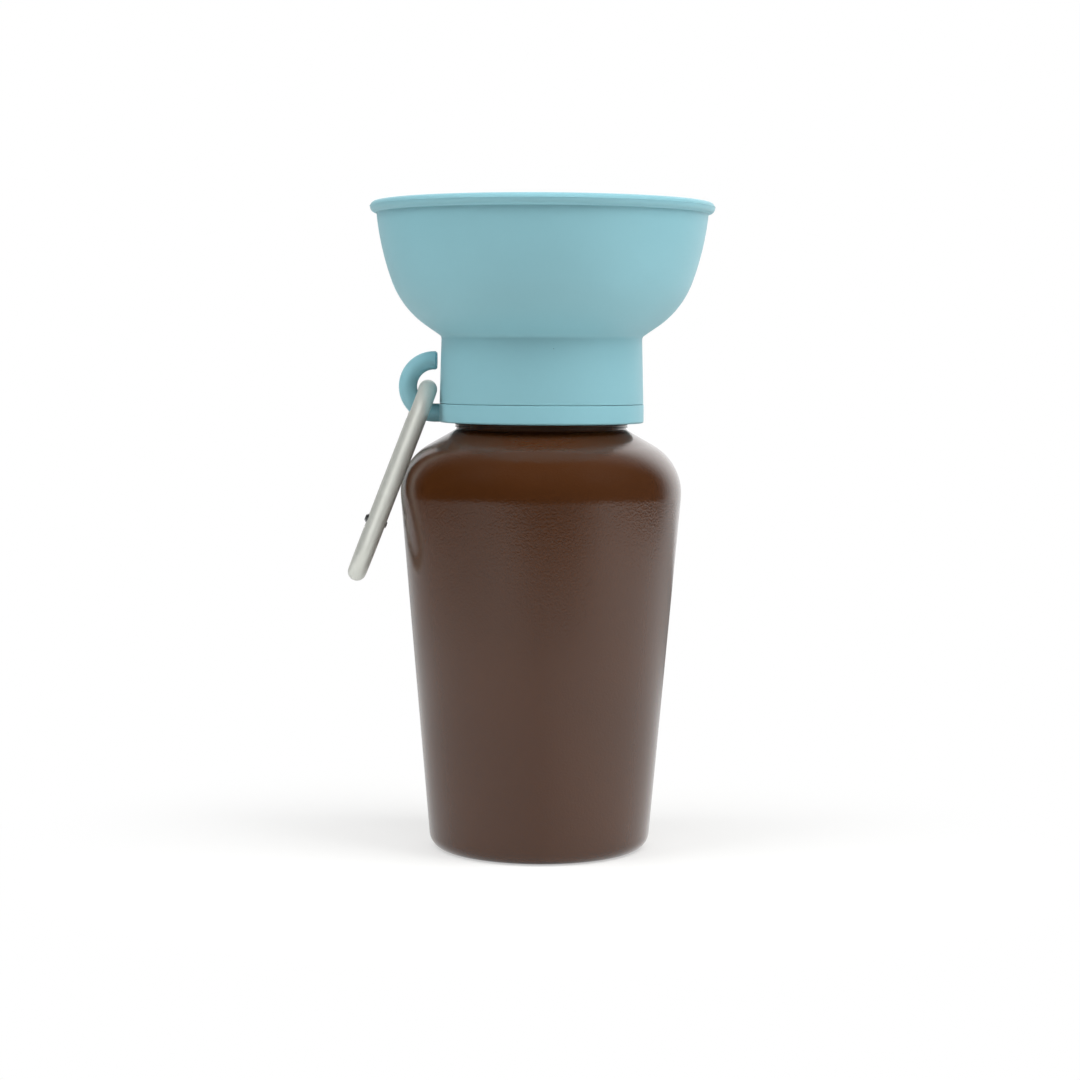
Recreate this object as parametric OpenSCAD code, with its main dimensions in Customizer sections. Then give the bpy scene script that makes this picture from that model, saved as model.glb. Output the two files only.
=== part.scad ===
// Travel water bottle for dogs, with a drinking bowl for a lid.
// Squeezing the bottle sends water up the dip tube, through the valve stem and into
// the bowl. The bowl is also the valve: a quarter turn runs its three lugs along the
// collar's cam tracks, lifts the bowl and draws its outlet off the fixed plug.
// Millimetres, +Z up, origin on the bottle's axis in the plane that it stands on.
// The hook and the carabiner are on the -X side.

/* [Bottle] */
// Outer diameter at the widest place, on the shoulder
bottle_d = 79.7; // [76:0.1:84]
// Outer diameter that the tapered side would reach in the base plane
base_d = 62.2; // [56:0.1:68]
// Radius that rounds the base into the side
base_corner_r = 4.4; // [3:0.1:6]
// Outer diameter of the ring that the bottle stands on, before the push-up starts
stand_d = 41; // [34:0.5:46]
// Height of the push-up in the middle of the base
push_up = 3; // [1.5:0.1:5]
// Height of the centre of the shoulder's round
shoulder_z = 101.5; // [80:0.5:130]
// Radius of the shoulder's round
shoulder_r = 15.5; // [12:0.5:17]
// Fall of the shoulder's upper slope, in degrees
shoulder_fall = 30; // [24:1:36]
// Wall thickness of the blown bottle
bottle_wall = 1.2; // [0.8:0.1:1.8]
// Outer diameter of the plain neck, under its thread
neck_d = 48.2; // [46:0.1:48.6]
// Height of the neck above the shoulder
neck_h = 10.2; // [9:0.1:12]
// How far the bead round the neck's root stands out
neck_bead = 0.4; // [0.2:0.05:0.45]

/* [Collar] */
// How far the collar's ring stands out past the skirt's lower edge
ring_proud = 0.1; // [0:0.05:0.3]
// Height of the collar's ring
collar_h = 5.25; // [5.2:0.05:6.5]
// Height of neck that shows under the collar
neck_show = 1.9; // [1.2:0.1:3]
// Radial room for the thread between the neck and the collar's bore
thread_room = 1.1; // [1:0.05:1.3]
// Wall of the collar round its thread, out to the upstand's face
collar_wall = 1.4; // [1.2:0.1:2]
// Thickness of the sealing washer between the lip and the collar's deck
gasket_t = 1.4; // [1:0.1:2]
// Thickness of the collar's deck
deck_t = 1.8; // [1.4:0.1:2.4]
// Height of the upstand above the seam
upstand_h = 17.6; // [17:0.1:18]
// Wall thickness of the upstand
upstand_t = 3; // [2.6:0.1:3.2]

/* [Hook] */
// How much thinner the hook's rod is than the collar's ring, above and below
hook_inset = 0.025; // [0:0.025:0.4]
// Radius of the hook's bend, to the middle of the rod
hook_bend_r = 7.4; // [7:0.1:8.5]
// Distance from the collar's ring to the centre of the hook's bend
hook_out = 1.5; // [1:0.1:3]
// Straight length of the hook's tip past its bend
hook_tip = 0.9; // [0.5:0.1:0.9]

/* [Bowl] */
// Outer diameter over the rim bead
rim_d = 97.2; // [92:0.1:104]
// Height of the rim above the seam
rim_h = 56.7; // [52:0.1:62]
// Height of the rim bead
bead_h = 3.1; // [2.6:0.1:4]
// How far the rim bead stands out from the wall
bead_out = 1.8; // [1.4:0.1:2.6]
// Outer diameter at the corner between the wall's upper and lower rounds
side_d = 91.6; // [88:0.1:94]
// Height of that corner above the seam
side_h = 43.4; // [40:0.1:46]
// Radius of the wall's upper round
side_r = 78; // [60:1:90]
// Outer diameter at the corner between the wall and its foot slope
belly_d = 79; // [74:0.1:82]
// Height of that corner above the seam
belly_h = 26.6; // [25:0.1:29]
// Radius of the wall's lower round
belly_r = 26; // [20:1:28]
// Height of the skirt's top above the seam
foot_h = 19; // [18.8:0.1:20]
// How far the skirt widens from its top to its lower edge, on each side
skirt_flare = 0.5; // [0.2:0.1:1]
// Wall thickness at the skirt's top
skirt_wall = 1.45; // [1.2:0.05:1.6]
// Wall thickness of the bowl
bowl_wall = 1.8; // [1.4:0.1:2.2]
// Thickness of the bowl's floor
floor_t = 1.8; // [1.4:0.1:2.2]
// Fall of the floor to its outlet
floor_fall = 0.5; // [0.2:0.1:1]

/* [Valve] */
// Diameter of the outlet in the bowl's floor
outlet_d = 10; // [9:0.1:11]
// Turn of the bowl from closed to open, in degrees
valve_turn = 90; // [60:5:90]
// How far the bowl lifts over that turn
valve_lift = 3.5; // [2.5:0.1:3.8]
// Number of lugs, each with its cam track
lug_count = 3; // [2:1:3]
// Diameter of a lug
lug_d = 2.4; // [2:0.1:2.6]
// Reach of a lug into its track
lug_reach = 1.4; // [1.2:0.1:1.5]
// Outer diameter of the stem's tube
stem_d = 9.2; // [8:0.1:9.4]
// Bore of the stem
stem_bore_d = 4.6; // [3.6:0.1:5]
// Diameter of each side port in the stem
port_d = 3; // [2:0.1:3.2]
// Thickness of the silicone cap on the stem's head
plug_t = 1; // [0.8:0.1:1.4]
// Section diameter of the ring seal on the bowl's inner wall
ring_seal_d = 1.8; // [1.5:0.1:2]

/* [Dip tube] */
// Outer diameter of the dip tube
tube_d = 6.4; // [5.6:0.1:6.8]
// Wall thickness of the dip tube
tube_wall = 0.9; // [0.6:0.1:1.1]
// Gap between the tube's end and the bottle's floor
tube_end_gap = 2.5; // [2:0.5:8]
// Depth of the socket that holds the tube
socket_depth = 8; // [6:0.5:9]

/* [Carabiner] */
// Thickness of the carabiner's rod
rod_d = 5.2; // [4.6:0.1:5.2]
// Overall length of the carabiner
clip_len = 61; // [58:0.5:66]
// Overall width of the carabiner
clip_w = 25.2; // [25:0.1:26]
// Radius of the two upper corners, to the middle of the rod
clip_corner_r = 7; // [6:0.1:7.4]
// Twist of the hanging carabiner about its own length, in degrees
clip_twist = 3; // [0:0.5:5]
// Straight rod between the upper corner and the gate
nose_stub = 0.8; // [0.6:0.1:3]
// Straight rod between the lower bend and the gate's pivot end
hinge_stub = 1.65; // [1:0.05:6]
// Thickness of the two tongues
tongue_t = 2.4; // [1.8:0.1:2.6]
// Diameter of the rivet
rivet_d = 1.8; // [1.4:0.1:2]
// How far each rivet head stands out
rivet_head_h = 0.7; // [0.4:0.1:0.8]
// Diameter of the latch pin
latch_d = 1.4; // [1.2:0.1:1.6]
// Diameter of the pusher
pusher_d = 2; // [1.6:0.1:2.1]
// Length of the pusher
pusher_len = 4; // [3.5:0.1:5]
// Wire thickness of the gate's spring
wire_d = 0.35; // [0.3:0.05:0.4]
// Turns of the gate's spring
spring_turns = 8; // [6:1:10]

/* [Clearances] */
// Gap that shows as the seam between the skirt and the collar
seam_gap = 0.3; // [0.2:0.05:0.5]
// Gap between the skirt and the upstand
skirt_gap = 0.35; // [0.3:0.05:0.5]
// Gap round a lug in its track
lug_gap = 0.2; // [0.15:0.05:0.3]
// Radial gap of the plug in the outlet and of the ring seal in the upstand
seal_gap = 0.07; // [0.05:0.01:0.1]
// Radial gap of the dip tube in its socket, and of what is pushed together like it
push_gap = 0.05; // [0.03:0.01:0.08]
// Gap between a tongue and each cheek of its slot
slot_gap = 0.1; // [0.08:0.01:0.15]
// Radial gap of a pin in its hole
pin_gap = 0.05; // [0.03:0.01:0.08]
// Gap between the sealing washer's edge and the collar's bore
gasket_gap = 0.7; // [0.3:0.1:0.9]
// Gap between the carabiner and the hook that it hangs in
hang_gap = 0.3; // [0.2:0.05:0.4]
// Gap between the hanging carabiner and the bottle's shoulder
rest_gap = 0.4; // [0.3:0.05:1]

/* [Hidden] */
$fn = 96;

teal = "#7fb3ba";
cocoa = "#4a2a1a";
silicone_grey = "#8d9494";
clear_poly = "#dfe6e8";
satin_metal = "#b9bcb6";
dark_steel = "#55585a";

// Bottle: the taper is the line from the base that touches the shoulder's round
base_r = base_d / 2;
neck_r = neck_d / 2;
shoulder_x = bottle_d / 2 - shoulder_r;
taper = asin(shoulder_r / norm([base_r - shoulder_x, shoulder_z]))
    - atan2(base_r - shoulder_x, shoulder_z);
shoulder_half = (90 - shoulder_fall + taper) / 2;
shoulder_mid = (90 - shoulder_fall - taper) / 2;
shoulder_corner = [shoulder_x, shoulder_z]
    + shoulder_r / cos(shoulder_half) * [cos(shoulder_mid), sin(shoulder_mid)];
neck_z = shoulder_corner[1] + (shoulder_corner[0] - neck_r) * tan(shoulder_fall);
lip_z = neck_z + neck_h;
neck_fillet = 0.6;
neck_bead_h = 0.8;
dome_r = 16;
stand_fillet = 3;

// Collar: heights follow from the neck
bore_r = neck_r + thread_room;
collar_z = neck_z + neck_show;
seam_z = collar_z + collar_h;
deck_z = lip_z + gasket_t;
deck_top = deck_z + deck_t;
upstand_top = seam_z + upstand_h;
upstand_r = bore_r + collar_wall;
upstand_bore_r = upstand_r - upstand_t;
skirt_bore_r = upstand_r + skirt_gap;
foot_r = skirt_bore_r + skirt_wall;
skirt_r = foot_r + skirt_flare;
collar_r = skirt_r + ring_proud;
edge_r = 0.25;
collar_edge_r = 0.6;
stem_hole_r = stem_d / 2 + push_gap;
gasket_lap = 1;
gasket_in_r = neck_r - bottle_wall - gasket_lap;
gasket_r = bore_r - gasket_gap;

// Bowl: heights are counted from the seam
skirt_z = seam_z + seam_gap;
foot_z = seam_z + foot_h;
rim_z = seam_z + rim_h;
floor_z = upstand_top + skirt_gap;
floor_top = floor_z + floor_t;
outlet_r = outlet_d / 2;
foot_fillet = 1.2;
well_r = 5;
bead_r = bead_h / 2;
inner_wall_gap = 0.7;
inner_wall_r = upstand_bore_r - inner_wall_gap;
inner_wall_t = 2.1;
inner_wall_h = 6.4;
seal_drop = 5;
seal_z = floor_z - seal_drop;
seal_ring_r = upstand_bore_r - seal_gap - ring_seal_d / 2;

// Valve: the tracks are cut into the upstand's outer face
lug_base = 1.4;
lug_z = deck_top + lug_d / 2 + lug_base;
lug_r = skirt_bore_r - lug_reach;
track_r = lug_r - lug_gap;
track_w = lug_d + 2 * lug_gap;
track_run = asin((lug_d / 2 + lug_gap) / upstand_r);
track_steps = 20;
plug_r = outlet_r - seal_gap;
head_r = plug_r - plug_t;
head_h = 2.6;
head_waist = 1.6;
plug_top = floor_top - floor_fall;
plug_foot = plug_top - head_h - 2 * plug_t;
head_top = plug_top - plug_t;
stem_step = 0.3;
stem_top = plug_foot - stem_step;
port_wall = 0.2;
port_z = stem_top - stem_step - port_d / 2;
port_count = 4;
flange_out = 3;
flange_r = stem_d / 2 + flange_out;
flange_t = 1.5;
tube_r = tube_d / 2;
tube_top = deck_z - flange_t;
tube_low = push_up + bottle_wall + tube_end_gap;
tube_cut = 35;

// Carabiner: local frame with its origin in the middle of the top rod, its length
// along -Z and its width along Y, then leaned and twisted as it hangs
hook_r = collar_h / 2 - hook_inset;
hook_x = collar_r + hook_out;
rod_r = rod_d / 2;
hook_z = collar_z + collar_h / 2 + hook_bend_r;
hang_reach = hook_bend_r - hook_r - rod_r - hang_gap;
hang_angle = 23;
hang = [-hook_x - hang_reach * cos(hang_angle), 0, hook_z - hang_reach * sin(hang_angle)];
half_w = (clip_w - rod_d) / 2;
clip_foot = clip_len - rod_d;
bend_z = half_w - clip_foot;
stub_gap = 0.25;
nose_z = -clip_corner_r - nose_stub + stub_gap;
gate_z = nose_z - stub_gap;
stub_z = bend_z + hinge_stub;
rivet_z = stub_z + stub_gap + rod_r;
tongue_inset = 0.15;
tongue_r = rod_r - tongue_inset;
tongue_flat = 1.9;
nose_len = 4;
slot_w = tongue_t + 2 * slot_gap;
slot_end_gap = 0.3;
slot_top = rivet_z + tongue_r + slot_end_gap;
slot_nose = gate_z - nose_len - slot_gap;
latch_drop = 1.9;
latch_z = gate_z - latch_drop;
pusher_r = pusher_d / 2;
pusher_z = rivet_z + tongue_flat + pin_gap;
spring_z = pusher_z + pusher_len + pin_gap;
spring_len = 8;
bore_end = spring_z + spring_len + pin_gap;
spring_r = pusher_r - wire_d / 2;

// Lean of the hanging carabiner: a line from the hook that touches the shoulder's
// round, worked out in the plane of the bottle's axis that one leg crosses it in
leg_run = norm([hang[0], half_w]) - shoulder_x;
leg_drop = hang[2] - shoulder_z;
rest_r = shoulder_r + rod_r + half_w * sin(clip_twist) + rest_gap;
rest_dist = sqrt(leg_run * leg_run + leg_drop * leg_drop - rest_r * rest_r);
leg_lean = asin(rest_r / norm([leg_run, leg_drop])) - atan2(leg_run, leg_drop);
rest_out = leg_run + shoulder_x + rest_dist * sin(leg_lean);
clip_lean = atan2(sqrt(rest_out * rest_out - half_w * half_w) + hang[0], rest_dist * cos(leg_lean));

// Share of a side that the arcs at its two ends may take up
arc_share = 0.99;

function unit(v) = v / norm(v);
function left_of(v) = [-v[1], v[0]];

// Points of an arc round c, from angle a to angle b
function arc(c, r, a, b, n) =
    [for (i = [0 : n]) let (turn = a + (b - a) * i / n) c + r * [cos(turn), sin(turn)]];

// One corner of an outline, rounded to radius r: p is the corner, a and b its neighbours
function round_corner(a, p, b, r) =
    let (u = unit(a - p), v = unit(b - p), turn = 180 - acos(u * v), away = unit(u + v),
        c = p + away * r / cos(turn / 2), from = p + u * r * tan(turn / 2) - c,
        side = sign(u[1] * v[0] - u[0] * v[1]),
        start = atan2(from[1], from[0]), n = max(3, ceil(turn / 90 * (3 + 4 * sqrt(r)))))
    arc(c, r, start, start + side * turn, n);

// How far a corner's arc reaches along both of its sides
function arc_reach(a, p, b, r) = r * tan(90 - acos(unit(a - p) * unit(b - p)) / 2);

// A closed outline from corners [x, y, radius]. Where two arcs don't fit on the side
// between them, both get smaller.
function rounded(q) =
    let (n = len(q), p = [for (c = q) [c[0], c[1]]], before = [for (i = [0 : n - 1]) (i + n - 1) % n],
        after = [for (i = [0 : n - 1]) (i + 1) % n],
        reach = [for (i = [0 : n - 1])
            q[i][2] > 0 ? arc_reach(p[before[i]], p[i], p[after[i]], q[i][2]) : 0],
        fits = [for (i = [0 : n - 1])
            arc_share * norm(p[after[i]] - p[i]) / (reach[i] + reach[after[i]])],
        r = [for (i = [0 : n - 1]) q[i][2] * min(1, fits[i], fits[before[i]])])
    [for (i = [0 : n - 1])
        each (q[i][2] > 0 ? round_corner(p[before[i]], p[i], p[after[i]], r[i]) : [p[i]])];

// The corner p of a wall moved t to the left, where the lines a-p and p-b run
function inset(a, p, b, t) =
    let (m = left_of(unit(p - a)), n = left_of(unit(b - p))) p + t * (m + n) / (1 + m * n);

// The point at height y on the line through a and b
function at_height(a, b, y) = [a[0] + (b[0] - a[0]) * (y - a[1]) / (b[1] - a[1]), y];

module turned(outline) {
    rotate_extrude() polygon(outline);
}

// Ring of radius r with a round section, lying at height z
module ring(r, d, z) {
    translate([0, 0, z]) rotate_extrude() translate([r, 0]) circle(d = d, $fn = 32);
}

module bottle() {
    neck_foot = [neck_r, neck_z];
    side_top = shoulder_corner;
    base_edge = [base_r, 0];
    inner_side = inset(base_edge, side_top, neck_foot, bottle_wall);
    inner_neck = inset(side_top, neck_foot, [neck_r, lip_z], bottle_wall);
    inner_base = inset([stand_d / 2, 0], base_edge, side_top, bottle_wall);
    inner_stand = inset([stand_d / 2 - dome_r / 2, push_up], [stand_d / 2, 0], base_edge, bottle_wall);
    inner_dome = inset([0, push_up], [stand_d / 2 - dome_r / 2, push_up], [stand_d / 2, 0], bottle_wall);
    color(cocoa) {
        turned(rounded([
            [0, push_up, 0], [stand_d / 2 - dome_r / 2, push_up, dome_r],
            [stand_d / 2, 0, stand_fillet], [base_r, 0, base_corner_r],
            [side_top[0], side_top[1], shoulder_r], [neck_r, neck_z, neck_fillet],
            [neck_r, lip_z, edge_r], [inner_neck[0], lip_z, edge_r],
            [inner_neck[0], inner_neck[1], neck_fillet],
            [inner_side[0], inner_side[1], shoulder_r - bottle_wall],
            [inner_base[0], inner_base[1], base_corner_r - bottle_wall],
            [inner_stand[0], inner_stand[1], stand_fillet],
            [inner_dome[0], inner_dome[1], dome_r], [0, push_up + bottle_wall, 0]]));
        neck_ring(neck_z + neck_fillet, neck_bead_h);
    }
}

// Bead round the neck, from height z up
module neck_ring(z, h) {
    out = neck_r + neck_bead;
    turned(rounded([[neck_r - bottle_wall / 2, z, 0], [out, z, h / 3],
        [out, z + h, h / 3], [neck_r - bottle_wall / 2, z + h, 0]]));
}

module neck_gasket() {
    color(silicone_grey) turned(rounded([[gasket_in_r, lip_z, edge_r], [gasket_r, lip_z, edge_r],
        [gasket_r, deck_z, edge_r], [gasket_in_r, deck_z, edge_r]]));
}

module collar() {
    color(teal) {
        difference() {
            turned(rounded([
                [stem_hole_r, deck_z, 0], [bore_r, deck_z, edge_r], [bore_r, collar_z, edge_r],
                [collar_r, collar_z, collar_edge_r], [collar_r, seam_z, edge_r],
                [upstand_r, seam_z, edge_r], [upstand_r, upstand_top, edge_r],
                [upstand_bore_r, upstand_top, edge_r], [upstand_bore_r, deck_top, edge_r],
                [stem_hole_r, deck_top, 0]]));
            for (i = [0 : lug_count - 1]) rotate([0, 0, 360 / lug_count * i]) cam_track();
        }
        hook();
    }
}

// Helical slot for one lug, from closed at angle 0 to open at angle valve_turn
module cam_track() {
    cut_r = upstand_r + 1;
    half = track_w / 2;
    section = [[track_r, -half], [cut_r, -half], [cut_r, half], [track_r, half]];
    points = [for (i = [0 : track_steps])
        let (a = -track_run + (valve_turn + 2 * track_run) * i / track_steps)
        for (p = section) [p[0] * cos(a), p[0] * sin(a), lug_z + valve_lift * a / valve_turn + p[1]]];
    sides = [for (i = [0 : track_steps - 1], k = [0 : 3])
        let (a = 4 * i + k, b = 4 * i + (k + 1) % 4)
        each [[a, b, a + 4], [b, b + 4, a + 4]]];
    last = 4 * track_steps;
    polyhedron(points, concat([[0, 2, 1], [0, 3, 2]], sides,
        [[last, last + 1, last + 2], [last, last + 2, last + 3]]), convexity = 4);
}

// Open hook: a half ring standing in the XZ plane, with a straight root and tip
module hook() {
    root_len = hook_x - (bore_r + collar_r) / 2;
    translate([-hook_x, 0, hook_z]) {
        rotate([90, 0, 0]) rotate_extrude(start = 90, angle = 180)
            translate([hook_bend_r, 0]) circle(r = hook_r, $fn = 48);
        translate([0, 0, -hook_bend_r]) rotate([0, 90, 0])
            cylinder(r = hook_r, h = root_len, $fn = 48);
        translate([0, 0, hook_bend_r]) rotate([0, 90, 0]) hook_end();
    }
}

// Tip of the hook, with its edge broken
module hook_end() {
    cylinder(r = hook_r, h = hook_tip - edge_r * 2, $fn = 48);
    translate([0, 0, hook_tip - edge_r * 2])
        cylinder(r1 = hook_r, r2 = hook_r - edge_r * 1.5, h = edge_r * 2, $fn = 48);
}

module valve_stem() {
    tube_bore = tube_r + push_gap;
    waist = head_r - head_waist / 2;
    bore_top = port_z + port_d / 2 + port_wall;
    color(clear_poly) difference() {
        turned([
            [tube_bore, tube_top - socket_depth], [stem_d / 2, tube_top - socket_depth],
            [stem_d / 2, deck_z - flange_t], [flange_r, deck_z - flange_t], [flange_r, deck_z],
            [stem_d / 2, deck_z], [stem_d / 2, stem_top], [waist, stem_top],
            [waist, head_top - head_h / 2], [head_r, head_top - head_h / 2], [head_r, head_top],
            [0, head_top], [0, bore_top], [stem_bore_d / 2, bore_top], [stem_bore_d / 2, tube_top],
            [tube_bore, tube_top]]);
        for (i = [0 : port_count - 1]) rotate([0, 90, 45 + 360 / port_count * i])
            translate([-port_z, 0, 0]) cylinder(d = port_d, h = stem_d, $fn = 32);
    }
}

// Silicone cap pulled over the stem's head
module plug_seal() {
    inner = head_r + push_gap;
    waist = head_r - head_waist / 2 + push_gap;
    step_z = head_top - head_h / 2 - push_gap;
    cap_z = head_top + push_gap;
    color(silicone_grey) turned(rounded([
        [waist, plug_foot, 0], [plug_r, plug_foot, edge_r], [plug_r, plug_top, edge_r * 2],
        [0, plug_top, 0], [0, cap_z, 0], [inner, cap_z, 0], [inner, step_z, 0], [waist, step_z, 0]]));
}

// Ring seal in the groove of the bowl's inner wall
module ring_seal() {
    color(silicone_grey) ring(seal_ring_r, ring_seal_d, seal_z);
}

module bowl() {
    foot = [foot_r, foot_z];
    belly = [belly_d / 2, seam_z + belly_h];
    side = [side_d / 2, seam_z + side_h];
    wall_top = [rim_d / 2 - bead_out, rim_z - bead_h];
    in_belly = inset(foot, belly, side, bowl_wall);
    in_side = inset(belly, side, wall_top, bowl_wall);
    in_top = wall_top + bowl_wall * left_of(unit(wall_top - side));
    in_foot = foot + bowl_wall * left_of(unit(belly - foot));
    well = at_height(in_foot, in_belly, floor_top);
    inner_wall_z = floor_z - inner_wall_h;
    color(teal) {
        difference() {
            turned(rounded([
                [skirt_bore_r, skirt_z, edge_r], [skirt_r, skirt_z, edge_r],
                [foot[0], foot[1], foot_fillet], [belly[0], belly[1], belly_r],
                [side[0], side[1], side_r], [wall_top[0], wall_top[1], edge_r],
                [rim_d / 2, rim_z - bead_h, bead_r], [rim_d / 2, rim_z, bead_r],
                [in_top[0], rim_z, bead_r], [in_top[0], wall_top[1], bowl_wall],
                [in_side[0], in_side[1], side_r - bowl_wall],
                [in_belly[0], in_belly[1], belly_r - bowl_wall],
                [well[0], well[1], well_r], [outlet_r, floor_top - floor_fall, edge_r],
                [outlet_r, floor_z, edge_r], [inner_wall_r - inner_wall_t, floor_z, edge_r],
                [inner_wall_r - inner_wall_t, inner_wall_z, edge_r],
                [inner_wall_r, inner_wall_z, edge_r], [inner_wall_r, floor_z, edge_r],
                [skirt_bore_r, floor_z, edge_r]]));
            ring(seal_ring_r, ring_seal_d + 2 * push_gap, seal_z);
        }
        for (i = [0 : lug_count - 1]) rotate([0, 0, 360 / lug_count * i]) lug();
    }
}

// Round lug on the inside of the skirt
module lug() {
    root = skirt_wall / 2;
    translate([lug_r, 0, lug_z]) rotate([0, 90, 0])
        cylinder(d = lug_d, h = lug_reach + root, $fn = 32);
}

// Dip tube with its lower end cut slanting
module dip_tube() {
    color(clear_poly) difference() {
        translate([0, 0, tube_low]) cylinder(d = tube_d, h = tube_top - tube_low, $fn = 48);
        translate([0, 0, tube_low - 1]) cylinder(d = tube_d - 2 * tube_wall, h = tube_top, $fn = 48);
        translate([-tube_r, 0, tube_low]) rotate([0, -tube_cut, 0])
            translate([-tube_d, -tube_d, -2 * tube_d]) cube(2 * tube_d * [2, 1, 1]);
    }
}

// Place of the hanging carabiner
module hanging() {
    translate(hang) rotate([0, clip_lean, 0]) rotate([0, 0, clip_twist]) children();
}

// Part of the bent rod: centre [y, z], bend radius and the angles it runs between
module rod_bend(y, z, r, from, turn) {
    translate([0, y, z]) rotate([90, 0, 90]) rotate_extrude(start = from, angle = turn)
        translate([r, 0]) circle(r = rod_r, $fn = 48);
}

module rod_straight(y, low, high) {
    translate([0, y, low]) cylinder(r = rod_r, h = high - low, $fn = 48);
}

module carabiner_body() {
    corner_y = half_w - clip_corner_r;
    color(satin_metal) hanging() {
        difference() {
            union() {
                translate([0, -corner_y, 0]) rotate([-90, 0, 0])
                    cylinder(r = rod_r, h = 2 * corner_y, $fn = 48);
                rod_bend(-corner_y, -clip_corner_r, clip_corner_r, 90, 90);
                rod_bend(corner_y, -clip_corner_r, clip_corner_r, 0, 90);
                rod_straight(-half_w, bend_z, -clip_corner_r);
                rod_bend(0, bend_z, half_w, 180, 180);
                rod_straight(half_w, bend_z, stub_z);
                rod_straight(half_w, nose_z, -clip_corner_r);
                hinge_tongue();
                nose_tongue();
            }
            translate([0, half_w, rivet_z]) rotate([0, 90, 0])
                cylinder(d = rivet_d + 2 * pin_gap, h = rod_d, center = true, $fn = 32);
        }
    }
}

// Tongue at the hinge, round about the rivet, with a flat for the pusher
module hinge_tongue() {
    root = 1;
    translate([0, half_w, rivet_z]) rotate([90, 0, 90])
        linear_extrude(tongue_t, center = true) difference() {
            union() {
                circle(r = tongue_r, $fn = 48);
                translate([-tongue_r, stub_z - root - rivet_z])
                    square([2 * tongue_r, rivet_z - stub_z + root]);
            }
            translate([-rod_d, tongue_flat]) square([2 * rod_d, rod_d]);
        }
}

// Tongue at the nose, with the notch that takes the latch pin from inside
module nose_tongue() {
    root = 1;
    notch = latch_d / 2 + slot_gap;
    translate([0, half_w, 0]) rotate([90, 0, 90])
        linear_extrude(tongue_t, center = true) difference() {
            translate([-tongue_r, gate_z - nose_len])
                square([2 * tongue_r, stub_gap + nose_len + root]);
            translate([0, latch_z]) circle(r = notch, $fn = 32);
            translate([-rod_d, latch_z - notch]) square([rod_d, 2 * notch]);
        }
}

module carabiner_gate() {
    color(satin_metal) hanging() translate([0, half_w, 0]) difference() {
        union() {
            translate([0, 0, rivet_z]) cylinder(r = rod_r, h = gate_z - rivet_z, $fn = 48);
            intersection() {
                translate([0, 0, rivet_z - rod_d]) cylinder(r = rod_r, h = rod_d, $fn = 48);
                cross_hole(rod_r, rivet_z);
            }
        }
        translate([-slot_w / 2, -rod_d, rivet_z - rod_d])
            cube([slot_w, 2 * rod_d, slot_top - rivet_z + rod_d]);
        translate([-slot_w / 2, -rod_d, slot_nose]) cube([slot_w, 2 * rod_d, 2 * rod_d]);
        translate([0, 0, slot_top - pusher_r])
            cylinder(r = pusher_r + pin_gap, h = bore_end - slot_top + pusher_r, $fn = 32);
        cross_hole(rivet_d / 2 + pin_gap, rivet_z);
        cross_hole(latch_d / 2 + pin_gap, latch_z);
    }
}

// Cylinder that runs right through the rod at height z
module cross_hole(r, z) {
    translate([0, 0, z]) rotate([0, 90, 0]) cylinder(r = r, h = 2 * rod_d, center = true, $fn = 48);
}

module gate_rivet() {
    color(dark_steel) hanging() translate([0, half_w, rivet_z]) rotate([0, 90, 0]) {
        cylinder(d = rivet_d, h = rod_d, center = true, $fn = 32);
        for (side = [0, 180]) rotate([side, 0, 0]) translate([0, 0, rod_r])
            cylinder(r1 = rivet_d * 0.75, r2 = rivet_d * 0.45, h = rivet_head_h, $fn = 32);
    }
}

module latch_pin() {
    chord = 2 * sqrt(rod_r * rod_r - latch_d * latch_d / 4);
    color(dark_steel) hanging() translate([0, half_w, latch_z]) rotate([0, 90, 0])
        cylinder(d = latch_d, h = chord, center = true, $fn = 32);
}

module gate_pusher() {
    nose = pusher_r * 0.9;
    color(dark_steel) hanging() translate([0, half_w, pusher_z]) {
        intersection() {
            translate([0, 0, pusher_r]) sphere(r = pusher_r, $fn = 32);
            cylinder(r = pusher_d, h = nose, $fn = 32);
        }
        translate([0, 0, nose]) cylinder(r = pusher_r, h = pusher_len - nose, $fn = 32);
    }
}

// Compression spring, one unbroken wire
module gate_spring() {
    rings = 8 * spring_turns;
    sides = 6;
    wire_r = wire_d / 2;
    span = spring_len - wire_d;
    slope = atan2(span / spring_turns, 2 * PI * spring_r);
    points = [for (i = [0 : rings], k = [0 : sides - 1])
        let (a = 45 * i, b = 60 * k, out = spring_r + wire_r * cos(b))
        [out * cos(a) + wire_r * sin(b) * sin(slope) * sin(a),
         out * sin(a) - wire_r * sin(b) * sin(slope) * cos(a),
         wire_r + span * i / rings + wire_r * sin(b) * cos(slope)]];
    skin = [for (i = [0 : rings - 1], k = [0 : sides - 1])
        let (a = sides * i + k, b = sides * i + (k + 1) % sides)
        each [[a, b, a + sides], [b, b + sides, a + sides]]];
    last = sides * rings;
    caps = [for (k = [1 : sides - 2]) each [[0, k + 1, k], [last, last + k, last + k + 1]]];
    color(dark_steel) hanging() translate([0, half_w, spring_z])
        polyhedron(points, concat(skin, caps), convexity = 6);
}

bottle();
neck_gasket();
collar();
valve_stem();
plug_seal();
ring_seal();
bowl();
dip_tube();
carabiner_body();
carabiner_gate();
gate_rivet();
latch_pin();
gate_pusher();
gate_spring();
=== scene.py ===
import math

import bmesh
import bpy
from bpy.props import FloatProperty, FloatVectorProperty, IntProperty, PointerProperty
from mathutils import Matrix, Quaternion, Vector


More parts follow.
